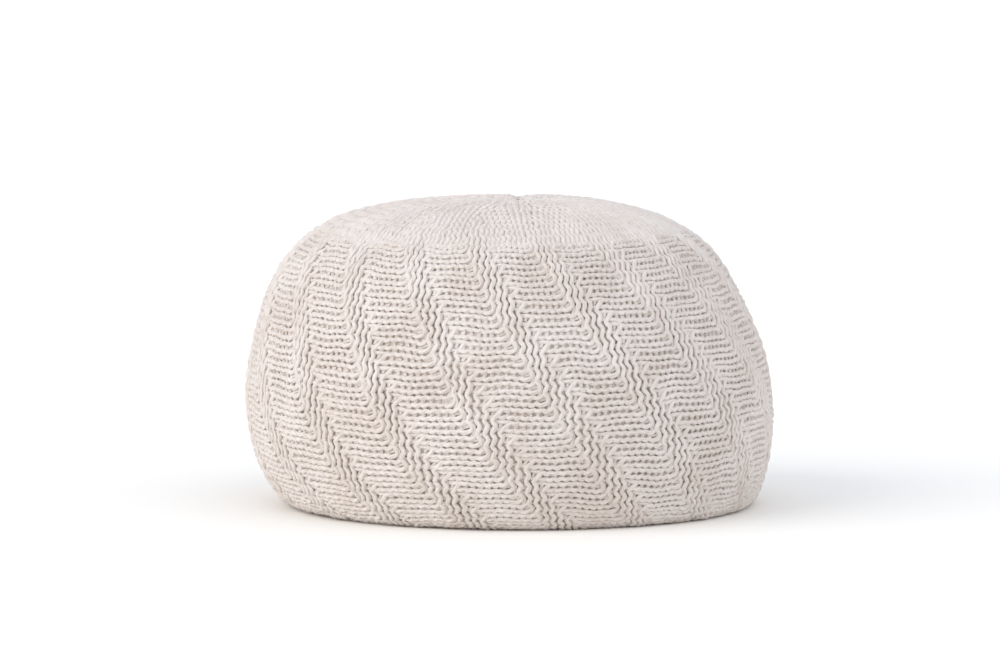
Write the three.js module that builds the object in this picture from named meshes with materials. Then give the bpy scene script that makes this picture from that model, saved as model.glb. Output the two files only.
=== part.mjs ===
// A round floor pouf in a chunky knitted cover: one filled body that stands on its own flat
// underside, bulges at the sides, and is drawn in to a small gathered knot in the middle of
// its crown. Eighteen double ribs are raised on the sides and lean over as they run down.
// Millimetres, +Z up. The origin is on the floor, under the middle of the body's outline.

import * as THREE from "three";

// Driving dimensions

// The body's levels, from the rim of its flat underside up to the edge of the gathered
// middle. radius is half the width at that level, height is above the floor, and lean is how
// far the level's centre lies along +X, because the filling has slumped to one side.
const LEVELS = [
  { radius: 235, height: 0, lean: 12 },
  { radius: 248, height: 7, lean: 9 },
  { radius: 260, height: 27, lean: 5 },
  { radius: 270, height: 58, lean: 2 },
  { radius: 275, height: 104, lean: 0 },
  { radius: 270, height: 150, lean: -2 },
  { radius: 258, height: 194, lean: -5 },
  { radius: 240, height: 236, lean: -8 },
  { radius: 215, height: 271, lean: -9 },
  { radius: 176, height: 298, lean: -9 },
  { radius: 120, height: 314, lean: -6 },
  { radius: 62, height: 320, lean: 0 },
  { radius: 28, height: 320.5, lean: 4 },
];
const LEVEL_ROWS = 38;

// The middle of the crown, from the edge of the gather inwards: the cloth dips into a shallow
// dimple and comes up again in the knot that closes it.
const GATHER = [
  { radius: 17, height: 319, lean: 5 },
  { radius: 11, height: 316.5, lean: 5 },
  { radius: 8, height: 319, lean: 5 },
  { radius: 4.5, height: 321, lean: 5 },
  { radius: 0, height: 321.5, lean: 5 },
];
const PUCKER_DEPTH = 1.2;
const PUCKER_RADIUS = 42;

// Radii of the rings that the flat underside is divided at.
const BASE_RINGS = [80, 155];

// One repeat of the knitting is six stitches wide: two stitches of raised rib with a shallow
// groove between them, and four stitches of panel. at is in stitches from the middle of the
// rib, and rise is how far the cloth stands out there.
const REPEAT = [
  { at: -1.2, rise: -1 },
  { at: -0.75, rise: 2.2 },
  { at: 0, rise: 1.2 },
  { at: 0.75, rise: 2.2 },
  { at: 1.2, rise: -1 },
  { at: 3, rise: 0.2 },
];
const RIBS = 18;
const STITCHES_PER_RIB = 6;
const STITCH_ANGLE = (2 * Math.PI) / (RIBS * STITCHES_PER_RIB);
const ROW_PITCH = 14.5;
const STITCHES_OVER_PER_ROW = 0.5;
const FRONT_RIB_ANGLE = THREE.MathUtils.degToRad(-9);
const FRONT_RIB_HEIGHT = 104;

// The ribs rise out of the rim of the underside and die away at the plain ring of the crown.
const RIBS_START_HEIGHT = 2;
const RIBS_FULL_HEIGHT = 22;
const RIBS_END_RADIUS = 178;
const RIBS_FADE_RADIUS = 204;

// The filling is a little uneven round the body.
const SLUMPS = [
  { waves: 2, depth: 1.5, turn: 0 },
  { waves: 3, depth: 1.2, turn: 50 },
];

const YARN_COLOUR = 0xe3d8cf;

/** The rows of the body from the middle of the underside to the middle of the crown. */
function bodyRows() {
  const rim = LEVELS[0];
  const levels = new THREE.CatmullRomCurve3(
    LEVELS.map((level) => new THREE.Vector3(level.radius, level.lean, level.height)),
    false,
    "catmullrom",
    0.5,
  );
  const sideRows = levels
    .getSpacedPoints(LEVEL_ROWS)
    .map((point) => ({ radius: point.x, height: point.z, lean: point.y }));
  const baseRows = [0, ...BASE_RINGS].map((radius) => ({ ...rim, radius }));
  return [...baseRows, ...sideRows, ...GATHER];
}

/** The length along the outline from the first row to each row. */
function lengthsAlong(rows) {
  const lengths = [0];
  for (let i = 1; i < rows.length; i += 1) {
    const radiusStep = rows[i].radius - rows[i - 1].radius;
    const heightStep = rows[i].height - rows[i - 1].height;
    lengths.push(lengths[i - 1] + Math.hypot(radiusStep, heightStep));
  }
  return lengths;
}

/** How far each row of the knitting has been carried round, in radians. */
function driftOf(rows) {
  const lengths = lengthsAlong(rows);
  const radiansPerLength = (STITCHES_OVER_PER_ROW * STITCH_ANGLE) / ROW_PITCH;
  const front = rows.findIndex((row) => row.height > FRONT_RIB_HEIGHT);
  return lengths.map(
    (length) => FRONT_RIB_ANGLE - radiansPerLength * (length - lengths[front]),
  );
}

/** How much of the ribs' relief a row shows, from 0 to 1. */
function ribShare(row) {
  const { smoothstep } = THREE.MathUtils;
  const fromBase = smoothstep(row.height, RIBS_START_HEIGHT, RIBS_FULL_HEIGHT);
  const onCrown = row.height > FRONT_RIB_HEIGHT;
  return onCrown ? smoothstep(row.radius, RIBS_END_RADIUS, RIBS_FADE_RADIUS) : fromBase;
}

/** How deep the puckers that run out from the knot are at an angle, on a row of the crown. */
function puckerAt(row, angle) {
  const gathered = row.height > FRONT_RIB_HEIGHT && row.radius < PUCKER_RADIUS;
  const share = gathered ? Math.sin((Math.PI * row.radius) / PUCKER_RADIUS) : 0;
  return (share * PUCKER_DEPTH * (1 + Math.cos(RIBS * angle))) / 2;
}

/** How far the filling pushes the cloth out at an angle, on a row that stands off the floor. */
function slumpAt(row, angle) {
  const share = Math.min(row.radius / LEVELS[0].radius, 1) * Math.min(row.height / FRONT_RIB_HEIGHT, 1);
  return SLUMPS.reduce((sum, slump) => {
    const turn = THREE.MathUtils.degToRad(slump.turn);
    return sum + share * slump.depth * Math.sin(slump.waves * angle - turn);
  }, 0);
}

/** The body: a turned form whose points are moved out to the ribs, the puckers and the lean. */
function knittedBody() {
  const rows = bodyRows();
  const drift = driftOf(rows);
  const columns = RIBS * REPEAT.length;
  const outline = rows.map((row) => new THREE.Vector2(row.radius, row.height));
  const geometry = new THREE.LatheGeometry(outline, columns);
  const position = geometry.getAttribute("position");
  for (let column = 0; column <= columns; column += 1) {
    const mark = REPEAT[column % REPEAT.length];
    const rib = Math.floor(column / REPEAT.length) % RIBS;
    const stitches = rib * STITCHES_PER_RIB + mark.at;
    rows.forEach((row, index) => {
      const angle = drift[index] + stitches * STITCH_ANGLE;
      const radius = row.radius + ribShare(row) * mark.rise + slumpAt(row, angle);
      const x = row.lean + radius * Math.sin(angle);
      const y = -radius * Math.cos(angle);
      const z = row.height - puckerAt(row, angle);
      position.setXYZ(column * rows.length + index, x, y, z);
    });
  }
  geometry.computeBoundingBox();
  const middle = geometry.boundingBox.getCenter(new THREE.Vector3());
  geometry.translate(-middle.x, -middle.y, 0);
  geometry.computeVertexNormals();
  const yarn = new THREE.MeshStandardMaterial({ color: YARN_COLOUR, roughness: 0.9, metalness: 0 });
  const mesh = new THREE.Mesh(geometry, yarn);
  mesh.name = "knitted_body";
  return mesh;
}

const pouf = new THREE.Group();
pouf.add(knittedBody());

export default pouf;
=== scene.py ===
"""A low round pouf in a chunky knitted cotton cover, dressed over its fixed frame.

The cover is laid out on the columns and rows of its knitting. Stepped lengths of cotton cord
run as a ridge of one panel, turn down through four rows of a rib and leave as a ridge of the
next panel. The crown and the underside are plain columns that are drawn in to the middle, and
a filled inner bag shows in the gaps.

Metres, +Z up, with the origin on the floor under the middle of the body.
"""

from __future__ import annotations

import logging
import math
from dataclasses import dataclass, field
from enum import Enum

import bmesh
import bpy
import numpy as np
from bpy.types import ID, Material, Mesh, Node, NodeSocket, NodeTree, Object
from mathutils import Matrix, Vector

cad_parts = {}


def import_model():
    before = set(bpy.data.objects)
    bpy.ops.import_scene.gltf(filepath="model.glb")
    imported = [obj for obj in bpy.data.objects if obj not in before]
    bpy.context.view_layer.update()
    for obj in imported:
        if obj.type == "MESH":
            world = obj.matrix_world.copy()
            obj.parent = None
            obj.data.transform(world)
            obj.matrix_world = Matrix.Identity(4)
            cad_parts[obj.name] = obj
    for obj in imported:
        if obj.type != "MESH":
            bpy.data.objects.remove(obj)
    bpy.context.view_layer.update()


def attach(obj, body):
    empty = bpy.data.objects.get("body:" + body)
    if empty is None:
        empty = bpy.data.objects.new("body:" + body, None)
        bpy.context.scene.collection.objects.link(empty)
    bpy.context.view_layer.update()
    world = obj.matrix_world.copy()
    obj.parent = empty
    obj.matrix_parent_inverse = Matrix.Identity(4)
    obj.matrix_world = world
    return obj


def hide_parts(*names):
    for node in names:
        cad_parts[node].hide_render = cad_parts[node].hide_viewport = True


LOG = logging.getLogger("pouf")
CAD_NODE = "knitted_body"
BODY = "root"
FULL_TURN = 2 * math.pi
CORD_MAP = "yarn"
CLOSE = 1e-6
Marks = tuple[tuple[float, float, float], ...]

# Tools for colours, materials and lines


def linear(hex_colour: str) -> tuple[float, float, float, float]:
    """Turn an sRGB hex colour into the linear colour that a shader takes.

    Args:
        hex_colour: six hex digits, with or without a leading hash.

    Returns:
        Linear red, green and blue, and an alpha of one.
    """
    digits = hex_colour.lstrip("#")
    parts = [int(digits[i : i + 2], 16) / 255 for i in (0, 2, 4)]
    parts = [p / 12.92 if p <= 0.04045 else ((p + 0.055) / 1.055) ** 2.4 for p in parts]
    return (*parts, 1.0)


def add_node(
    tree: NodeTree,
    kind: str,
    settings: dict[str, object] | None = None,
    inputs: dict[str, object] | None = None,
) -> Node:
    """Add one node to a material, with its settings and what its sockets take.

    Args:
        tree: the node tree that the node joins.
        kind: the node's type name.
        settings: properties of the node itself.
        inputs: by socket name, a plain value or another node's output socket.

    Returns:
        The new node.
    """
    node = tree.nodes.new(kind)
    for name, value in (settings or {}).items():
        setattr(node, name, value)
    for name, value in (inputs or {}).items():
        socket = node.inputs[int(name)] if name.isdigit() else node.inputs[name]
        if isinstance(value, NodeSocket):
            tree.links.new(value, socket)
        else:
            socket.default_value = value
    return node


def new_material(name: str) -> tuple[Material, NodeTree]:
    """Make an empty node material.

    Args:
        name: the material's name.

    Returns:
        The material and its node tree.
    """
    material = bpy.data.materials.new(name)
    material.use_nodes = True
    material.node_tree.nodes.clear()
    return material, material.node_tree


def add_math(tree: NodeTree, operation: str, *values: NodeSocket | float) -> NodeSocket:
    """Add one sum to a material and give its output."""
    inputs = {str(place): value for place, value in enumerate(values)}
    return add_node(tree, "ShaderNodeMath", {"operation": operation}, inputs).outputs[0]


def add_noise(tree: NodeTree, place: NodeSocket, size: float, detail: float) -> Node:
    """Add even noise of a size in metres, with some finer layers."""
    inputs = {"Vector": place, "Scale": 1 / size, "Detail": detail}
    return add_node(tree, "ShaderNodeTexNoise", inputs=inputs)


def add_bump(tree: NodeTree, height: NodeSocket, depth: float) -> Node:
    """Add relief of a depth in metres."""
    inputs = {"Height": height, "Distance": depth, "Strength": 1.0}
    return add_node(tree, "ShaderNodeBump", inputs=inputs)


def add_surface(tree: NodeTree, inputs: dict[str, object]) -> None:
    """Add the shader that a material ends in, with what its sockets take."""
    shader = add_node(tree, "ShaderNodeBsdfPrincipled", inputs=inputs)
    add_node(tree, "ShaderNodeOutputMaterial", inputs={"Surface": shader.outputs["BSDF"]})


def add_object(name: str, data: ID) -> Object:
    """Make an object of some data and link it to the scene.

    Args:
        name: the object's name.
        data: its mesh, curve, light or camera.

    Returns:
        The object.
    """
    thing = bpy.data.objects.new(name, data)
    bpy.context.scene.collection.objects.link(thing)
    return thing


def lay_cord(
    name: str,
    points: np.ndarray,
    edges: np.ndarray,
    radius: float,
    fullness: np.ndarray,
    roundness: int,
    finish: Material,
) -> Object:
    """Make one piece of cord that runs through points.

    Args:
        name: the piece's name.
        points: the points of all its lengths, end to end.
        edges: where in the points each length starts, and where the last one ends.
        radius: the cord's radius.
        fullness: how full the cord is at each point, as a share of its radius.
        roundness: how round the cord is, from 0 for four sides, by two sides each.
        finish: the cord's material.

    Returns:
        The piece.
    """
    curve = bpy.data.curves.new(name, "CURVE")
    curve.dimensions = "3D"
    curve.bevel_depth = radius
    curve.bevel_resolution = roundness
    curve.use_fill_caps = True
    for begin, end in zip(edges, edges[1:]):
        spline = curve.splines.new("POLY")
        spline.points.add(int(end - begin) - 1)
        line = np.c_[points[begin:end], np.ones(end - begin)]
        spline.points.foreach_set("co", line.ravel())
        spline.points.foreach_set("radius", fullness[begin:end])
    holder = add_object(name + "_line", curve)
    graph = bpy.context.evaluated_depsgraph_get()
    mesh = bpy.data.meshes.new_from_object(holder.evaluated_get(graph))
    bpy.data.objects.remove(holder)
    bpy.data.curves.remove(curve)
    mesh.name = name
    mesh.uv_layers[0].name = CORD_MAP
    mesh.materials.clear()
    mesh.materials.append(finish)
    mesh.polygons.foreach_set("material_index", np.zeros(len(mesh.polygons), int))
    mesh.polygons.foreach_set("use_smooth", np.ones(len(mesh.polygons), bool))
    return add_object(name, mesh)


def moved(marks: Marks, column: float, row: float) -> np.ndarray:
    """Move marks to the column and row that they count from."""
    return np.array(marks) + (column, row, 0.0)


def smooth_line(marks: np.ndarray, steps: int) -> np.ndarray:
    """Run a smooth line through marks.

    Args:
        marks: the marks, one row each.
        steps: how many points the line has from each mark to the next.

    Returns:
        The line's points, from the first mark to the last.
    """
    padded = np.concatenate([[2 * marks[0] - marks[1]], marks, [2 * marks[-1] - marks[-2]]])
    share = np.linspace(0.0, 1.0, steps, endpoint=False)[None, :, None]
    before, start, end, after = (padded[i : len(padded) - 3 + i][:, None] for i in range(4))
    out_of, into = (end - before) / 2, (after - start) / 2
    line = (2 * start - 2 * end + out_of + into) * share**3
    line = line + (-3 * start + 3 * end - 2 * out_of - into) * share**2
    line = (line + out_of * share + start).reshape(-1, marks.shape[1])
    return np.concatenate([line, marks[-1:]])


# Finishes


@dataclass(frozen=True)
class TwistedCottonCord:
    """Soft-twisted natural cotton cord: undyed ivory, with three plies and a short nap."""

    # Cotton has no gloss of its own: the eye sees a matt cord whose nap lightens its edges,
    # with soft slanted bands where the plies lie and a tone that changes a little by place.
    name: str = "soft_twisted_cotton_cord"
    pale: str = "#DED5CE"
    deep: str = "#D6CBC2"
    roughness: float = 0.9
    sheen: float = 0.25
    sheen_roughness: float = 0.5
    specular: float = 0.2
    plies: int = 3
    ply_length: float = 0.014
    ply_depth: float = 0.00035
    fibre_size: float = 0.0007
    fibre_depth: float = 0.00012
    fibre_detail: float = 3.0
    fibre_roughness: float = 0.6
    patch_size: float = 0.045
    patch_detail: float = 2.0
    patch_softness: float = 0.15

    def make(self) -> Material:
        """Build the cord's material from its plies, its fibres and its uneven tone.

        Returns:
            The material.
        """
        material, tree = new_material(self.name)
        place = add_node(tree, "ShaderNodeTexCoord").outputs["Object"]
        along = add_node(tree, "ShaderNodeUVMap", {"uv_map": CORD_MAP})
        parts = add_node(tree, "ShaderNodeSeparateXYZ", inputs={"Vector": along.outputs["UV"]})
        # U is metres along the cord and V is turns round it, so plies run as slanted bands.
        twist = add_math(tree, "MULTIPLY", parts.outputs["X"], FULL_TURN / self.ply_length)
        turn = FULL_TURN * self.plies
        twist = add_math(tree, "MULTIPLY_ADD", parts.outputs["Y"], turn, twist)
        ply = add_math(tree, "SINE", twist)
        fibre = add_noise(tree, place, self.fibre_size, self.fibre_detail)
        fibre.inputs["Roughness"].default_value = self.fibre_roughness
        patch = add_noise(tree, place, self.patch_size, self.patch_detail)
        low, high = 0.5 - self.patch_softness, 0.5 + self.patch_softness
        limits = {"Value": patch.outputs["Fac"], "From Min": low, "From Max": high}
        tone = add_node(tree, "ShaderNodeMapRange", inputs=limits)
        tones = {"0": tone.outputs["Result"], "6": linear(self.pale), "7": linear(self.deep)}
        colour = add_node(tree, "ShaderNodeMix", {"data_type": "RGBA"}, tones)
        ply_bump = add_bump(tree, ply, self.ply_depth)
        fibre_bump = add_bump(tree, fibre.outputs["Fac"], self.fibre_depth)
        tree.links.new(ply_bump.outputs["Normal"], fibre_bump.inputs["Normal"])
        add_surface(
            tree,
            {
                "Base Color": colour.outputs[2],
                "Roughness": self.roughness,
                "Sheen Weight": self.sheen,
                "Sheen Roughness": self.sheen_roughness,
                "Specular IOR Level": self.specular,
                "Normal": fibre_bump.outputs["Normal"],
            },
        )
        return material


@dataclass(frozen=True)
class InnerBagCotton:
    """Plain-woven natural cotton of the filled inner bag."""

    # A close plain weave looks flat and matt from outside the cover, and takes the cord's tone.
    name: str = "plain_woven_bag_cotton"
    colour: str = "#E8DCD1"
    roughness: float = 0.85
    specular: float = 0.2
    thread: float = 0.0006
    thread_detail: float = 1.0
    thread_depth: float = 0.00005

    def make(self) -> Material:
        """Build the bag's material, with its fine weave.

        Returns:
            The material.
        """
        material, tree = new_material(self.name)
        place = add_node(tree, "ShaderNodeTexCoord").outputs["Object"]
        weave = add_noise(tree, place, self.thread, self.thread_detail)
        bump = add_bump(tree, weave.outputs["Fac"], self.thread_depth)
        add_surface(
            tree,
            {
                "Base Color": linear(self.colour),
                "Roughness": self.roughness,
                "Specular IOR Level": self.specular,
                "Normal": bump.outputs["Normal"],
            },
        )
        return material


@dataclass(frozen=True)
class StudioPaint:
    """Matt white paint of the studio floor."""

    # Matt paint shows no reflection, only the soft shadow that the pouf stands in.
    name: str = "matt_white_studio_paint"
    colour: str = "#F9F6F0"
    roughness: float = 0.95

    def make(self) -> Material:
        """Build the floor's material.

        Returns:
            The material.
        """
        material, tree = new_material(self.name)
        add_surface(tree, {"Base Color": linear(self.colour), "Roughness": self.roughness})
        return material


# The form of the filled body


@dataclass(frozen=True)
class Level:
    """One level of the body: half its width, its height, and how far it has slid along +X."""

    radius: float
    height: float
    lean: float


@dataclass
class BodyForm:
    """The outer form that the filled cover takes up under its own weight.

    Places on it are given by the length along its outline, which is nought at the rim of the
    flat underside and grows up the side, and by the angle round it from the front.
    """

    levels: tuple[Level, ...] = (
        Level(0.235, 0.000, 0.012),
        Level(0.248, 0.007, 0.009),
        Level(0.260, 0.027, 0.005),
        Level(0.270, 0.058, 0.002),
        Level(0.275, 0.104, 0.000),
        Level(0.270, 0.150, -0.002),
        Level(0.258, 0.194, -0.005),
        Level(0.240, 0.236, -0.008),
        Level(0.215, 0.271, -0.009),
        Level(0.176, 0.298, -0.009),
        Level(0.120, 0.314, -0.006),
        Level(0.062, 0.320, 0.000),
        Level(0.028, 0.3205, 0.004),
    )
    middle: Level = Level(0.0, 0.318, 0.005)
    slump_waves: tuple[int, ...] = (2, 3)
    slump_depths: tuple[float, ...] = (0.0015, 0.0012)
    slump_turns: tuple[float, ...] = (0.0, 50.0)
    slump_full_height: float = 0.104
    fold_depth: float = 0.0026
    fold_at: float = 0.009
    fold_width: float = 0.009
    fold_start: float = 0.03
    fold_end: float = 0.16
    steps_per_level: int = 40
    soften: float = 0.006
    soften_steps: int = 7
    along: np.ndarray = field(init=False)
    table: np.ndarray = field(init=False)

    def __post_init__(self) -> None:
        """Work out the outline and its outward direction at close steps."""
        levels = np.array([(lv.radius, lv.height, lv.lean) for lv in self.levels])
        side = smooth_line(levels, self.steps_per_level)
        rim = side[0]
        base_steps = np.linspace(0.0, 1.0, self.steps_per_level * 3, endpoint=False)
        level = np.ones_like(base_steps)
        base = rim * np.stack([base_steps, level, level], axis=1)
        crown_steps = np.linspace(0.0, 1.0, self.steps_per_level + 1)[1:, None]
        end = np.array([self.middle.radius, self.middle.height, self.middle.lean])
        crown = side[-1] + (end - side[-1]) * crown_steps
        rows = np.concatenate([base, side, crown])
        length = np.hypot(np.diff(rows[:, 0]), np.diff(rows[:, 1]))
        self.along = np.concatenate([[0.0], np.cumsum(length)]) - rim[0]
        self.table = np.concatenate([rows, self._outward(rows)], axis=1)

    def _outward(self, rows: np.ndarray) -> np.ndarray:
        """Find the outward direction of each row, softened over the rim of the underside.

        Args:
            rows: radius, height and lean of each row.

        Returns:
            How far each direction points across and up.
        """
        step = np.hypot(np.gradient(rows[:, 0]), np.gradient(rows[:, 1]))
        slope = np.stack([np.gradient(rows[:, 1]), -np.gradient(rows[:, 0])], axis=1)
        slope /= step[:, None]
        at = np.cumsum(step)
        even = np.arange(at[0], at[-1], self.soften / (self.soften_steps - 1))
        kernel = np.hanning(2 * self.soften_steps + 1)
        kernel /= kernel.sum()
        soft = []
        for part in slope.T:
            padded = np.pad(np.interp(even, at, part), self.soften_steps, mode="edge")
            soft.append(np.interp(at, even, np.convolve(padded, kernel, mode="valid")))
        outward = np.stack(soft, axis=1)
        return outward / np.linalg.norm(outward, axis=1)[:, None]

    def at(self, along: np.ndarray) -> np.ndarray:
        """Look up radius, height, lean and the outward direction at lengths along the outline."""
        columns = [np.interp(along, self.along, column) for column in self.table.T]
        return np.stack(columns, axis=-1)

    def slump(self, radius: np.ndarray, height: np.ndarray, angle: np.ndarray) -> np.ndarray:
        """Find how far the uneven filling pushes the form out at places on it.

        Args:
            radius: each place's distance from the body's middle line.
            height: its height above the floor.
            angle: its angle round the body.

        Returns:
            Metres outward, less than nought where the form has sunk.
        """
        share = np.clip(radius / self.levels[0].radius, 0, 1)
        share = share * np.clip(height / self.slump_full_height, 0, 1)
        pushes = zip(self.slump_waves, self.slump_depths, self.slump_turns)
        return share * sum(
            depth * np.sin(waves * angle - math.radians(turn)) for waves, depth, turn in pushes
        )

    def fold(self, x: np.ndarray, y: np.ndarray) -> np.ndarray:
        """Find how far the crown sinks in the shallow fold that runs back from its middle.

        Args:
            x: each place's distance to the right of the middle.
            y: its distance behind the middle.

        Returns:
            Metres downward.
        """
        share = np.exp(-(((x - self.fold_at) / self.fold_width) ** 2))
        share = share * np.clip(y / self.fold_start, 0, 1)
        ending = np.clip((self.fold_end - y) / self.fold_start, 0, 1)
        return self.fold_depth * share * ending

    def place(self, along: np.ndarray, angle: np.ndarray, out: np.ndarray) -> np.ndarray:
        """Turn places on the form into points in space.

        Args:
            along: length along the outline from the rim of the underside.
            angle: angle round the body from the front, towards +X.
            out: how far each point stands out of the form, or in if negative.

        Returns:
            The points, one row each.
        """
        radius, height, lean, out_across, out_up = np.moveaxis(self.at(along), -1, 0)
        radius = radius + self.slump(radius, height, angle)
        radius = np.maximum(radius + out * out_across, 0.0)
        x = lean + radius * np.sin(angle)
        y = -radius * np.cos(angle)
        sunk = np.where(height > self.slump_full_height, self.fold(x, y), 0.0)
        return np.stack([x, y, height + out * out_up - sunk], axis=-1)


# The knitting


class Depth(Enum):
    """How deep the middle of a cord lies under the cover's outer surface, in metres."""

    RIB = 0.0019
    CROWN = 0.0037
    RIDGE = 0.0028
    TUCKED = 0.0039
    BEHIND = 0.0043


@dataclass(frozen=True)
class Hang:
    """How the filling pulls the rows and ribs out of true at one height on the body.

    Rows are lifted evenly, risen at the body's sides, skewed from left to right, or dipped
    between front and side, all in metres. Ribs are turned evenly, skewed, or turned at the
    sides, all in degrees.
    """

    along: float
    lift: float
    rise: float
    skew: float
    dip: float
    turn: float
    turn_skew: float
    turn_side: float


@dataclass(frozen=True)
class CordPath:
    """The way a length of cord takes over the cover: its column, row and depth at each point."""

    column: np.ndarray
    row: np.ndarray
    depth: np.ndarray


@dataclass
class KnittingPlan:
    """Where the columns and rows of the knitting lie on the body.

    Columns are counted round the body and rows downwards from the plain ring of the crown.
    Each repeat is four columns of rib and eight of panel, and steps one column to the right
    in every row.
    """

    form: BodyForm
    repeats: int = 18
    repeat_columns: int = 12
    rib_columns: int = 4
    pattern_rows: int = 27
    middle_row: float = 13.0
    stretch: float = 1.109
    shrink: float = 0.0115
    middle_offset: float = 0.9745
    crown_row: float = 0.0139
    underside_row: float = 0.0160
    first_angle: float = math.radians(-50.47)
    crown_counts: tuple[int, ...] = (12, 12, 11, 10, 9, 8, 7, 6, 5, 4, 4, 3, 2, 1, 1)
    underside_counts: tuple[int, ...] = (12, 11, 10, 9, 8, 7, 6, 5, 4, 3, 2, 2, 1)
    first_drawn: int = 2
    drawn_step: int = 5
    hangs: tuple[Hang, ...] = (
        Hang(-0.070, 0.0, 0.0, 0.0, 0.0, 0.0, 0.0, 0.0),
        Hang(0.040, -0.00235, 0.0031, 0.0005, 0.0073, 0.33, -0.79, 0.04),
        Hang(0.090, -0.0016, 0.0050, 0.0035, 0.0041, 0.12, -0.26, -0.85),
        Hang(0.150, -0.0006, 0.0068, 0.0036, 0.0012, 0.13, -0.91, -1.70),
        Hang(0.210, 0.00205, 0.0069, 0.0016, 0.0005, 0.80, -2.23, -1.90),
        Hang(0.270, 0.0034, 0.0059, 0.0024, 0.0011, 1.16, -3.32, -1.86),
        Hang(0.325, 0.0034, 0.0055, 0.0024, 0.0010, 1.16, -3.6, -1.86),
        Hang(0.480, 0.0, 0.0, 0.0, 0.0, 0.0, 0.0, 0.0),
    )
    drift_waves: int = 7
    drift_turns: tuple[int, int] = (4, 48)
    drift_rate: float = 1.6
    column_drift: float = 0.035
    row_drift: float = 0.028
    depth_drift: float = 0.00012
    seed: int = 11
    drifts: np.ndarray = field(init=False)

    def __post_init__(self) -> None:
        """Draw the slow waves by which hand knitting strays from an even lattice."""
        chance = np.random.default_rng(self.seed)
        shape = (3, self.drift_waves)
        waves = chance.integers(*self.drift_turns, shape)
        rates = chance.uniform(-self.drift_rate, self.drift_rate, shape)
        phases = chance.uniform(0, FULL_TURN, shape)
        self.drifts = np.stack([waves, rates, phases])

    @property
    def columns(self) -> int:
        """The columns of a full round."""
        return self.repeats * self.repeat_columns

    def home(self, rib: int, row: int) -> int:
        """Give the column of the cord that joins a rib from the right in a row."""
        return self.repeat_columns * rib + row + self.rib_columns - 1

    def left_edge(self, rib: int, row: int) -> float:
        """Give the column at the left edge of a rib's repeat, at a plain ring."""
        return self.home(rib, row - self.rib_columns) - 0.5

    def along(self, row: np.ndarray) -> np.ndarray:
        """Find the length along the outline at which rows lie, before they are pulled.

        Args:
            row: the rows, which needn't be whole.

        Returns:
            The length of each.
        """
        inside = np.clip(row, 0, self.pattern_rows)
        side = self.stretch * np.exp(-self.shrink * (inside - self.middle_row))
        side = side - self.middle_offset - np.minimum(row, 0) * self.crown_row
        return side - np.maximum(row - self.pattern_rows, 0) * self.underside_row

    def place(self, path: CordPath) -> np.ndarray:
        """Turn a path's columns, rows and depths into points in space.

        Args:
            path: the path, which may be several laid end to end.

        Returns:
            The points, one row each.
        """
        strays = self._drift(path.column, path.row)
        angle = self.first_angle + (path.column + strays[0]) * FULL_TURN / self.columns
        along = self.along(path.row + strays[1])
        levels = [hang.along for hang in self.hangs]
        pull = {
            name: np.interp(along, levels, [getattr(hang, name) for hang in self.hangs])
            for name in ("lift", "rise", "skew", "dip", "turn", "turn_skew", "turn_side")
        }
        side = (1 - np.cos(2 * angle)) / 2
        between = (1 - np.cos(4 * angle)) / 2
        turned = pull["turn"] + pull["turn_skew"] * np.sin(angle) + pull["turn_side"] * side
        along = along + pull["lift"] + pull["rise"] * side + pull["skew"] * np.sin(angle)
        along = along - pull["dip"] * between
        return self.form.place(along, angle + np.radians(turned), strays[2] - path.depth)

    def _drift(self, column: np.ndarray, row: np.ndarray) -> np.ndarray:
        """Find how far the knitting strays at places on the lattice.

        Args:
            column: the column of each place.
            row: its row.

        Returns:
            Three rows: columns to the right, rows downward and metres outward.
        """
        turn = column * FULL_TURN / self.columns
        sizes = (self.column_drift, self.row_drift, self.depth_drift)
        strays = np.zeros((3, len(column)))
        for kind, size in enumerate(sizes):
            for waves, rate, phase in self.drifts[:, kind].T:
                strays[kind] += size * np.sin(waves * turn + rate * row + phase)
        return strays

    def drawn_in(
        self, index: int, counts: tuple[int, ...], first: float
    ) -> list[tuple[float, float]]:
        """Follow one column of a repeat inwards, ring by ring, until it is drawn in.

        Args:
            index: the column's place in the repeat.
            counts: how many columns of the repeat are left at each ring.
            first: the column at the left edge of the repeat.

        Returns:
            Its column, and how many columns wide it has become, at each ring it reaches.
        """
        alive = list(range(self.repeat_columns))
        rings: list[tuple[float, float]] = []
        for ring, count in enumerate(counts):
            while len(alive) > count:
                alive.pop((self.drawn_step * ring + self.first_drawn) % len(alive))
            if index not in alive:
                break
            width = self.repeat_columns / count
            rings.append((first + (alive.index(index) + 0.5) * width, width))
        return rings


@dataclass(frozen=True)
class Ridge:
    """The waving run of a panel's ridge, counted from the column and row of its cord.

    It is a little tilted, and is at its level, in rows, in its middle column. Its waves crest
    in a column, and their size is in rows, and in metres for the depth.
    """

    start: float
    end: float
    level: float
    middle: float
    crest: float
    wave: float
    depth_wave: float


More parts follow.
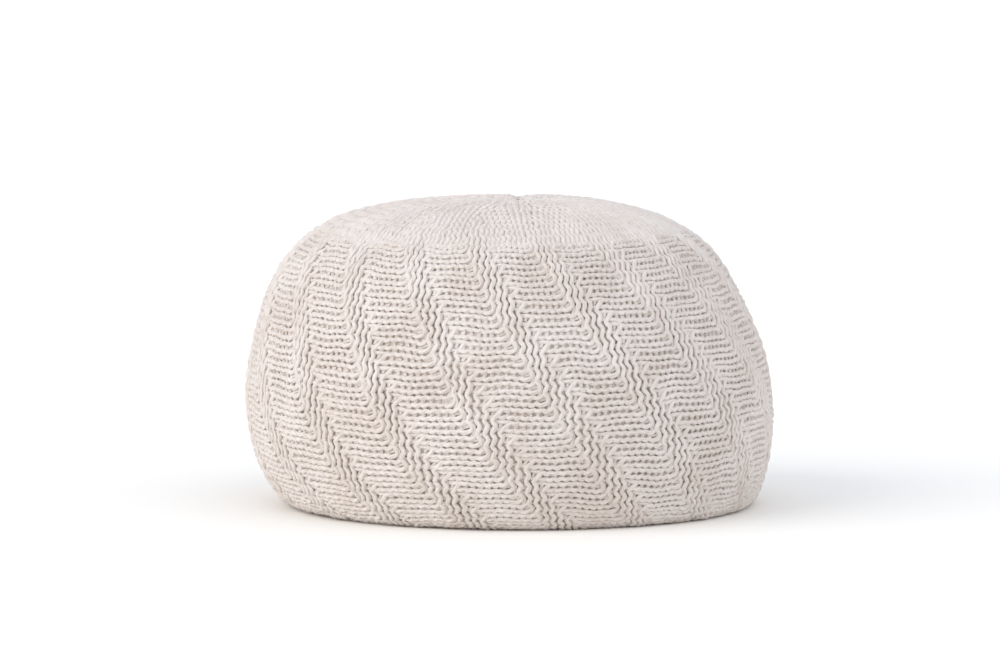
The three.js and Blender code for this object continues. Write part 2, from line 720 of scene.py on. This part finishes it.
@dataclass
class KnittedCover:
    """The cover of cord: stepped lengths through ribs and panels, and plain drawn-in ends.

    A stepped length runs as the lower ridge of the panel on its right, turns down through
    four rows of the rib, and leaves as the upper ridge of the panel on its left.
    """

    plan: KnittingPlan
    cord_radius: float = 0.00275
    column_width: float = 0.0080
    row_height: float = 0.0128
    step: float = 0.0027
    back_step: float = 0.0040
    underside_step: float = 0.0042
    steps_per_mark: int = 6
    band_rows: tuple[int, ...] = (4, 12, 20)
    # How a column sways in each row: to the left, then to the right.
    sway: float = 0.245
    left_at: float = 0.42
    right_at: float = 0.83
    rib_crest: float = 0.47
    rib_depth_wave: float = 0.0006
    leaving_dip: float = 0.0012
    crown_sway: float = 0.18
    crown_crest: float = 0.45
    crown_depth_wave: float = 0.0004
    crown_fullness: float = 1.28
    full_within: float = 0.5
    back_sway: float = 0.2
    back_row_step: float = 0.5
    back_ends: tuple[float, float] = (0.3, 0.2)
    lower: Ridge = Ridge(7.3, 1.7, -0.29, 4.5, 0.3, -0.06, 0.0005)
    upper: Ridge = Ridge(-0.9, -7.5, 0.26, -4.0, 0.1, 0.06, -0.0005)
    ridge_step: float = 0.5
    ridge_tilt: float = 0.0115
    # Marks that a cord runs through, as columns, rows and depth, from a column and a row. The
    # hidden ends of ridges and the short ends count from the ridge's own level.
    lower_start: Marks = (
        (9.9, 0.16, 0.0052),
        (9.2, 0.02, 0.0054),
        (8.6, -0.24, 0.0051),
        (8.1, -0.28, 0.0041),
        (7.65, -0.17, 0.0032),
    )
    rib_entry: Marks = (
        (1.40, -0.36, 0.0028),
        (1.02, -0.31, 0.0026),
        (0.74, -0.13, 0.0025),
        (0.42, 0.07, 0.0024),
        (0.08, 0.26, 0.0025),
        (-0.17, 0.42, 0.0025),
        (-0.03, 0.62, 0.0022),
    )
    rib_exit: Marks = (
        (0.20, 0.03, 0.0032),
        (0.03, 0.18, 0.0030),
        (-0.35, 0.2745, 0.0025),
    )
    upper_end: Marks = (
        (-7.8, -0.06, 0.0034),
        (-8.5, -0.12, Depth.TUCKED.value),
        (-9.3, -0.18, Depth.BEHIND.value),
        (-10.6, -0.22, Depth.BEHIND.value),
    )
    short_end: Marks = (
        (1.75, -0.02, 0.0046),
        (1.20, -0.07, 0.0036),
        (0.65, -0.11, 0.0033),
        (0.10, -0.13, 0.0034),
        (-0.35, -0.14, 0.0046),
        (-0.90, -0.15, Depth.BEHIND.value),
    )
    back_start: Marks = (
        (-1.00, -0.02, 0.0054),
        (-0.60, -0.04, 0.0047),
        (-0.05, -0.15, 0.0043),
        (0.48, -0.20, 0.0037),
        (0.56, 0.02, 0.0040),
        (0.45, 0.22, Depth.BEHIND.value),
    )
    crown_dive: Marks = ((0.0, -0.18, Depth.TUCKED.value), (0.0, 0.1, Depth.BEHIND.value))
    underside_dive: Marks = ((0.0, -0.6, Depth.BEHIND.value), (0.0, -0.3, Depth.TUCKED.value))
    # The columns of these ends are in widths of the drawn-in column.
    gather_end: Marks = ((0.0, -0.8, 0.0105), (0.0, -0.45, 0.0062), (0.0, -0.05, 0.0032))
    crown_end: Marks = (
        (0.5, -1.0, Depth.BEHIND.value),
        (0.3, -0.62, 0.0042),
        (0.0, -0.1, 0.0031),
    )
    underside_end: Marks = ((0.0, 0.2, 0.0042), (0.5, 0.5, Depth.BEHIND.value))
    # How unevenly the cord lies, as a shift of each length and a wander along it.
    uneven_column: float = 0.02
    uneven_row: float = 0.016
    uneven_depth: float = 0.00018
    uneven_radius: float = 0.035
    wander_share: float = 0.8
    wander_points: int = 5
    floor_clearance: float = 0.0002
    map_gap: float = 0.01
    seed: int = 7

    def build(self, finish: Material) -> list[Object]:
        """Knit the cover as a few joined pieces.

        Args:
            finish: the cord's material.

        Returns:
            The pieces, from the crown down.
        """
        plan = self.plan
        ribs = range(plan.repeats)
        rib, repeat = plan.rib_columns, plan.repeat_columns
        crown = [self.crown_cord(r, i) for r in ribs for i in range(rib, repeat)]
        under = [self.underside_cord(r, i) for r in ribs for i in range(rib + 1, repeat)]
        # The first backs start so high on the crown that only their lower ends are laid.
        back_rows = range(1 - 3 * rib, plan.pattern_rows)
        backs = [self.back_leg(r, n) for r in ribs for n in back_rows]
        pieces = [self._piece("cover_crown", crown, self.step, 1, finish)]
        edges = (-rib, *self.band_rows, plan.pattern_rows + 1)
        names = ("cover_shoulder", "cover_upper_side", "cover_lower_side", "cover_foot")
        for name, begin, end in zip(names, edges, edges[1:]):
            rows = range(begin, end)
            lengths = [self.stepped_cord(r, n) for r in ribs for n in rows]
            lengths += [self.stub(r, n) for r in ribs for n in rows if n > 0]
            pieces.append(self._piece(name, lengths, self.step, 1, finish))
        pieces.append(self._piece("cover_underside", under, self.underside_step, 1, finish))
        pieces.append(self._piece("cover_stitch_backs", backs, self.back_step, 0, finish))
        return pieces

    def stepped_cord(self, rib: int, row: int) -> np.ndarray:
        """Lay out one stepped length of cord.

        Args:
            rib: which rib it runs through, counted towards +X.
            row: the row in which it joins the rib.

        Returns:
            Its marks, as column, row and depth.
        """
        plan = self.plan
        home = plan.home(rib, row)
        leaves = row + plan.rib_columns
        if row < 0:
            parts = [self._crown_part(rib, leaves)]
            start = 0.0
        else:
            parts = [
                moved(self.lower_start, home, row + self.lower.level),
                self._ridge(self.lower, home, row),
                moved(self.rib_entry, home, row),
            ]
            start = row + self.right_at
        end = min(leaves - 1 + self.right_at, plan.pattern_rows)
        parts.append(self._rib_part(home, start, end))
        if leaves < plan.pattern_rows:
            parts += [
                moved(self.rib_exit, home, leaves),
                self._ridge(self.upper, home, leaves),
                moved(self.upper_end, home, leaves + self.upper.level),
            ]
        else:
            parts.append(self._underside_part(rib, leaves - plan.pattern_rows))
        return np.concatenate([part for part in parts if len(part)])

    def stub(self, rib: int, row: int) -> np.ndarray:
        """Lay out the end of a panel's ridge that tucks in beside the rib on its left."""
        return moved(self.short_end, self.plan.home(rib, row), row + self.lower.level)

    def _ridge(self, ridge: Ridge, home: int, row: int) -> np.ndarray:
        """Lay out the waving run of a ridge.

        Args:
            ridge: the ridge's run.
            home: the column of its cord in the rib.
            row: the row that the ridge's level counts from.

        Returns:
            Its marks.
        """
        columns = np.arange(ridge.start, ridge.end, -self.ridge_step)
        wave = np.cos(FULL_TURN * (columns - ridge.crest))
        rows = row + ridge.level + ridge.wave * wave
        rows = rows + self.ridge_tilt * (columns - ridge.middle)
        depths = Depth.RIDGE.value + ridge.depth_wave * wave
        return np.stack([home + columns, rows, depths], axis=1)

    def _rib_part(self, home: int, start: float, end: float) -> np.ndarray:
        """Lay out the swaying part that runs down through a rib.

        Args:
            home: the column that it sways about.
            start: the row where it starts.
            end: the row where it ends.

        Returns:
            Its marks, or none if it has no length.
        """
        middle = (self.left_at + self.right_at) / 2
        sways = (
            (self.left_at, -self.sway),
            (middle, 0.0),
            (self.right_at, self.sway),
            (middle + 0.5, 0.0),
        )
        rows = range(math.floor(start) - 1, math.ceil(end) + 1)
        marks = [(row + share, sway) for row in rows for share, sway in sways]
        kept = np.array([m for m in marks if start - CLOSE <= m[0] <= end + CLOSE])
        if not len(kept):
            return np.zeros((0, 3))
        wave = np.cos(FULL_TURN * (kept[:, 0] - self.rib_crest))
        depths = Depth.RIB.value + self.rib_depth_wave * wave
        if end % 1 > 0:
            depths[-1] += self.leaving_dip
        return np.stack([home + kept[:, 1], kept[:, 0], depths], axis=1)

    def back_leg(self, rib: int, row: int) -> np.ndarray:
        """Lay out the back of one column while it runs behind a panel.

        Args:
            rib: the rib that the column has left.
            row: the row in which its cord joined that rib.

        Returns:
            Its marks, or none if it has no length.
        """
        plan = self.plan
        home = plan.home(rib, row)
        top = row + plan.rib_columns
        over, under = self.back_ends
        end = min(row + plan.repeat_columns + over, plan.pattern_rows + under)
        first = max(top + self.back_row_step, -self.back_row_step)
        rows = np.arange(first, end, self.back_row_step)
        if len(rows) < 2:
            return np.zeros((0, 3))
        sway = -self.back_sway * np.cos(FULL_TURN * rows)
        leg = np.stack([home + sway, rows, np.full_like(rows, Depth.BEHIND.value)], axis=1)
        if top < 0:
            return leg
        return np.concatenate([moved(self.back_start, home, top), leg])

    def crown_cord(self, rib: int, index: int) -> np.ndarray:
        """Lay out one plain column of the crown down to where it dives under the first ridge."""
        start = self.plan.home(rib, index - self.plan.rib_columns)
        return np.concatenate([self._crown_part(rib, index), moved(self.crown_dive, start, 0)])

    def underside_cord(self, rib: int, index: int) -> np.ndarray:
        """Lay out one plain column of the underside from under the last ridge to the middle.

        Args:
            rib: the rib whose repeat it is in.
            index: its place in the repeat.

        Returns:
            Its marks.
        """
        rows = self.plan.pattern_rows
        start = self.plan.home(rib, rows + index - self.plan.rib_columns)
        behind = moved(self.underside_dive, start, rows)
        return np.concatenate([behind, self._underside_part(rib, index)])

    def _plain_stitch(
        self, start: float, end: float, row: float, width: float, wave: float
    ) -> np.ndarray:
        """Lay out one stitch of a plain column, which sways to the left and to the right.

        Args:
            start: the column at its upper end.
            end: the column at its lower end.
            row: the row at its upper end.
            width: how many columns wide it is.
            wave: how far its depth waves, in metres.

        Returns:
            Its marks.
        """
        share = np.array([self.left_at, self.right_at])
        sway = np.array([-self.crown_sway, self.crown_sway])
        columns = start * (1 - share) + end * share + sway * width
        depths = Depth.CROWN.value + wave * np.cos(FULL_TURN * (share - self.crown_crest))
        return np.stack([columns, row + share, depths], axis=1)

    def _crown_part(self, rib: int, index: int) -> np.ndarray:
        """Lay out a column of the crown from where it ends down to the plain ring.

        Args:
            rib: the rib whose repeat it is in.
            index: its place in the repeat.

        Returns:
            Its marks.
        """
        plan, wave = self.plan, self.crown_depth_wave
        rings = plan.drawn_in(index, plan.crown_counts, plan.left_edge(rib, 0))
        top = len(rings) - 1
        last, width = rings[top]
        closes = top == len(plan.crown_counts) - 1
        head = np.array(self.gather_end if closes else self.crown_end) * (width, 1.0, 1.0)
        parts = [head + (last, -top, 0.0)]
        for ring in range(top, 0, -1):
            column, width = rings[ring]
            parts.append(self._plain_stitch(column, rings[ring - 1][0], -ring, width, wave))
        return np.concatenate(parts)

    def _underside_part(self, rib: int, index: int) -> np.ndarray:
        """Lay out a column of the underside from the last row in to where it ends.

        Args:
            rib: the rib whose repeat it is in.
            index: its place in the repeat.

        Returns:
            Its marks.
        """
        plan = self.plan
        rows = plan.pattern_rows
        rings = plan.drawn_in(index, plan.underside_counts, plan.left_edge(rib, rows))
        parts = []
        for ring in range(1, len(rings)):
            column, width = rings[ring]
            above = rows + ring - 1
            parts.append(self._plain_stitch(rings[ring - 1][0], column, above, width, 0.0))
        last, width = rings[-1]
        tail = np.array(self.underside_end) * (width, 1.0, 1.0)
        return np.concatenate([*parts, tail + (last, rows + len(rings) - 1, 0.0)])

    def _smooth(self, marks: np.ndarray, step: float) -> CordPath:
        """Run a smooth line through marks and divide it evenly.

        Args:
            marks: the marks of one length.
            step: metres from point to point.

        Returns:
            The way that the length takes.
        """
        line = smooth_line(marks, self.steps_per_mark)
        scale = np.array([self.column_width, self.row_height, 1.0])
        length = np.r_[0, np.cumsum(np.linalg.norm(np.diff(line, axis=0) * scale, axis=1))]
        even = np.linspace(0, length[-1], max(int(length[-1] / step) + 1, 3))
        return CordPath(*(np.interp(even, length, way) for way in line.T))

    def _piece(
        self,
        name: str,
        layouts: list[np.ndarray],
        step: float,
        roundness: int,
        finish: Material,
    ) -> Object:
        """Make one joined piece of cord from the marks of its lengths.

        Args:
            name: the piece's name.
            layouts: the marks of each length.
            step: metres between the points of a line.
            roundness: how round the cord is, from 0 for four sides, by two sides each.
            finish: the cord's material.

        Returns:
            The piece.
        """
        chance = np.random.default_rng(self.seed + len(name))
        paths = [self._smooth(marks, step) for marks in layouts if len(marks) > 1]
        counts = [len(path.column) for path in paths]
        joined = [
            np.concatenate([getattr(path, way) for path in paths])
            for way in ("column", "row", "depth")
        ]
        row = joined[1]
        uneven = (self.uneven_column, self.uneven_row, self.uneven_depth)
        shifted = [
            places
            + np.repeat(chance.normal(0, size, len(paths)), counts)
            + self._wander(chance, sum(counts), size * self.wander_share)
            for places, size in zip(joined, uneven)
        ]
        points = self.plan.place(CordPath(*shifted))
        fullness = 1 + (self.crown_fullness - 1) * np.clip(-row / self.full_within, 0, 1)
        fullness = fullness + self._wander(chance, sum(counts), self.uneven_radius)
        edges = np.r_[0, np.cumsum(counts)]
        piece = lay_cord(name, points, edges, self.cord_radius, fullness, roundness, finish)
        self._measure_cord(piece.data, points, edges)
        self._press_on_floor(piece.data)
        return piece

    def _wander(self, chance: np.random.Generator, count: int, size: float) -> np.ndarray:
        """Draw a soft random wander.

        Args:
            chance: where the draws come from.
            count: how many values to draw.
            size: their spread.

        Returns:
            The values.
        """
        kernel = np.hanning(self.wander_points + 2)[1:-1]
        rough = chance.normal(0, size, count)
        return np.convolve(rough, kernel / np.linalg.norm(kernel), mode="same")

    def _measure_cord(self, mesh: Mesh, points: np.ndarray, edges: np.ndarray) -> None:
        """Rewrite the cord's map, so that U is metres along it and V is turns round it.

        Args:
            mesh: the cord's mesh.
            points: the points of all its lengths, end to end.
            edges: where in the points each length starts, and where the last one ends.
        """
        # The caps of all the lengths come first, with two rings of vertices for each length.
        lengths = len(edges) - 1
        sides = len(mesh.vertices) // (len(points) + 2 * lengths)
        gaps = np.r_[0, np.linalg.norm(np.diff(points, axis=0), axis=1)]
        gaps[edges[:-1]] = self.map_gap
        length = np.cumsum(gaps)
        corner = np.zeros(len(mesh.loops), np.int32)
        mesh.loops.foreach_get("vertex_index", corner)
        layer = mesh.uv_layers[CORD_MAP]
        flat = np.zeros(len(mesh.loops) * 2, np.float32)
        layer.data.foreach_get("uv", flat)
        uv = flat.reshape(-1, 2)
        uv[:, 0] = length[np.maximum(corner - 2 * sides * lengths, 0) // sides]
        layer.data.foreach_set("uv", uv.ravel())

    def _press_on_floor(self, mesh: Mesh) -> None:
        """Flatten the cord where it lies on the floor.

        Args:
            mesh: the cord's mesh.
        """
        co = np.zeros(len(mesh.vertices) * 3, np.float32)
        mesh.vertices.foreach_get("co", co)
        co = co.reshape(-1, 3)
        co[:, 2] = np.maximum(co[:, 2], self.floor_clearance)
        mesh.vertices.foreach_set("co", co.ravel())
        mesh.update()


# The bag, the knot and the studio


@dataclass
class InnerBag:
    """The filled bag inside the cover, seen only through the gaps between stitches."""

    form: BodyForm
    inset: float = 0.0046
    rows: int = 60
    segments: int = 96
    weld: float = 1e-5

    def build(self, finish: Material) -> Object:
        """Spin the bag's outline into a closed form and lean it with the body.

        Args:
            finish: the bag's material.

        Returns:
            The bag.
        """
        mesh = bpy.data.meshes.new("inner_bag")
        bm = bmesh.new()
        along = np.linspace(self.form.along[0], self.form.along[-1], self.rows)
        radius, height, lean, across, up = np.moveaxis(self.form.at(along), -1, 0)
        inside = np.maximum(radius - self.inset * across, 0.0)
        inside[[0, -1]] = 0.0
        heights = height - self.inset * up
        outline = [bm.verts.new((x, 0.0, z)) for x, z in zip(inside, heights)]
        for pair in zip(outline, outline[1:]):
            bm.edges.new(pair)
        bmesh.ops.spin(
            bm,
            geom=[*bm.verts, *bm.edges],
            cent=(0, 0, 0),
            axis=(0, 0, 1),
            angle=FULL_TURN,
            steps=self.segments,
            use_merge=True,
            use_duplicate=False,
        )
        bmesh.ops.remove_doubles(bm, verts=bm.verts, dist=self.weld)
        order = np.argsort(heights)
        for vert in bm.verts:
            angle = math.atan2(vert.co.x, -vert.co.y)
            push = float(self.form.slump(math.hypot(vert.co.x, vert.co.y), vert.co.z, angle))
            vert.co.x += float(np.interp(vert.co.z, heights[order], lean[order]))
            vert.co.x += push * math.sin(angle)
            vert.co.y -= push * math.cos(angle)
        bmesh.ops.recalc_face_normals(bm, faces=bm.faces)
        for face in bm.faces:
            face.smooth = True
        bm.to_mesh(mesh)
        bm.free()
        mesh.materials.append(finish)
        return add_object("inner_bag", mesh)


@dataclass
class CrownKnot:
    """The small knot of cord that closes the gather in the middle of the crown."""

    form: BodyForm
    cord_radius: float = 0.0027
    roundness: int = 2
    turn_radius: float = 0.0052
    narrowing: float = 0.75
    turns: float = 2.25
    points_per_turn: int = 16
    drop: float = 0.0045
    climb: float = 0.9
    ripple: float = 0.0008
    ripples: int = 3
    tail_reach: float = 1.4
    tail_side: float = -0.004
    tail_drop: float = 0.006

    def build(self, finish: Material) -> Object:
        """Wind a short end of cord into a small flat knot over the gather.

        Args:
            finish: the cord's material.

        Returns:
            The knot.
        """
        share = np.linspace(0.0, 1.0, int(self.turns * self.points_per_turn) + 1)
        angle = FULL_TURN * self.turns * share
        radius = self.turn_radius * (1.0 - self.narrowing * share)
        rise = self.drop * (self.climb * share - 1.0) + self.ripple * np.sin(self.ripples * angle)
        winding = np.stack([radius * np.cos(angle), radius * np.sin(angle), rise], axis=1)
        tail = (self.turn_radius * self.tail_reach, self.tail_side, -self.drop - self.tail_drop)
        top = self.form.middle
        line = np.array([tail, *winding]) + (top.lean, 0.0, top.height)
        edges, even = np.array([0, len(line)]), np.ones(len(line))
        return lay_cord("crown_knot", line, edges, self.cord_radius, even, self.roundness, finish)


@dataclass
class Studio:
    """The pale floor, the soft lights and the camera at the photo's viewing angle."""

    image_width: int = 1000
    image_height: int = 667
    camera_back: float = 6.0
    camera_height: float = 0.72
    body_middle_height: float = 0.161
    middle_pixel: tuple[float, float] = (510.5, 349.5)
    pixels_per_metre: float = 957.0
    sensor_width: float = 36.0
    floor_size: float = 160.0
    view_distance: float = 200.0
    light_colour: str = "#FFFAF4"
    key_power: float = 1.68
    key_width: float = 60.0
    key_direction: tuple[float, float, float] = (0.85, 0.45, -0.45)
    fill_power: float = 0.72
    fill_width: float = 90.0
    fill_direction: tuple[float, float, float] = (-0.70, 0.50, -0.45)
    sky_colour: str = "#ECF3FF"
    sky_power: float = 0.93

    def build(self) -> None:
        """Set up the camera, the floor, the lights and the sky."""
        self._camera()
        self._floor()
        self._lights()
        self._sky()
        view = bpy.context.scene.view_settings
        view.view_transform = "Standard"
        view.look = "None"
        view.exposure = 0.0

    def _camera(self) -> None:
        """Aim the camera so that the body's middle falls on its pixel in the photo."""
        data = bpy.data.cameras.new("camera")
        camera = add_object("camera", data)
        place = Vector((0.0, -self.camera_back, self.camera_height))
        right = (self.middle_pixel[0] - self.image_width / 2) / self.pixels_per_metre
        below = (self.middle_pixel[1] - self.image_height / 2) / self.pixels_per_metre
        aim = Vector((-right, 0.0, self.body_middle_height + below))
        away = aim - place
        data.sensor_width = self.sensor_width
        data.lens = self.pixels_per_metre * away.length * self.sensor_width / self.image_width
        data.clip_end = self.view_distance
        turn = away.to_track_quat("-Z", "Y").to_matrix().to_4x4()
        camera.matrix_world = Matrix.Translation(place) @ turn
        bpy.context.scene.camera = camera

    def _floor(self) -> None:
        """Lay a plain pale floor."""
        bm = bmesh.new()
        bmesh.ops.create_grid(bm, x_segments=1, y_segments=1, size=self.floor_size / 2)
        mesh = bpy.data.meshes.new("studio_floor")
        bm.to_mesh(mesh)
        bm.free()
        mesh.materials.append(StudioPaint().make())
        floor = add_object("studio_floor", mesh)

    def _lights(self) -> None:
        """Light the left of the body a little more than the right, from two broad soft lights."""
        for name, power, direction, width in (
            ("broad_key_light", self.key_power, self.key_direction, self.key_width),
            ("broad_fill_light", self.fill_power, self.fill_direction, self.fill_width),
        ):
            data = bpy.data.lights.new(name, "SUN")
            data.energy = power
            data.color = linear(self.light_colour)[:3]
            data.angle = math.radians(width)
            light = add_object(name, data)
            turn = Vector(direction).to_track_quat("-Z", "Y")
            light.matrix_world = turn.to_matrix().to_4x4()

    def _sky(self) -> None:
        """Fill the studio with even light that is a very little cool."""
        world = bpy.data.worlds.new("studio_sky")
        world.use_nodes = True
        back = world.node_tree.nodes["Background"]
        back.inputs["Color"].default_value = linear(self.sky_colour)
        back.inputs["Strength"].default_value = self.sky_power
        bpy.context.scene.world = world


def report(piece: Object) -> None:
    """Log a piece's name and its number of triangles."""
    triangles = sum(len(p.vertices) - 2 for p in piece.data.polygons)
    LOG.info("%s: %d triangles", piece.name, triangles)


def main() -> None:
    """Build the studio, the inner bag, the cover and its knot, and note the sizes."""
    logging.basicConfig(level=logging.INFO, format="%(name)s: %(message)s")
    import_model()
    Studio().build()
    form = BodyForm()
    cord = TwistedCottonCord().make()
    bag = InnerBag(form).build(InnerBagCotton().make())
    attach(bag, BODY)
    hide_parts(CAD_NODE)
    report(bag)
    cover = KnittedCover(KnittingPlan(form))
    pieces = cover.build(cord)
    pieces.append(CrownKnot(form).build(cord))
    for piece in pieces:
        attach(piece, BODY)
        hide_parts(CAD_NODE)
        report(piece)


if __name__ == "__main__":
    main()
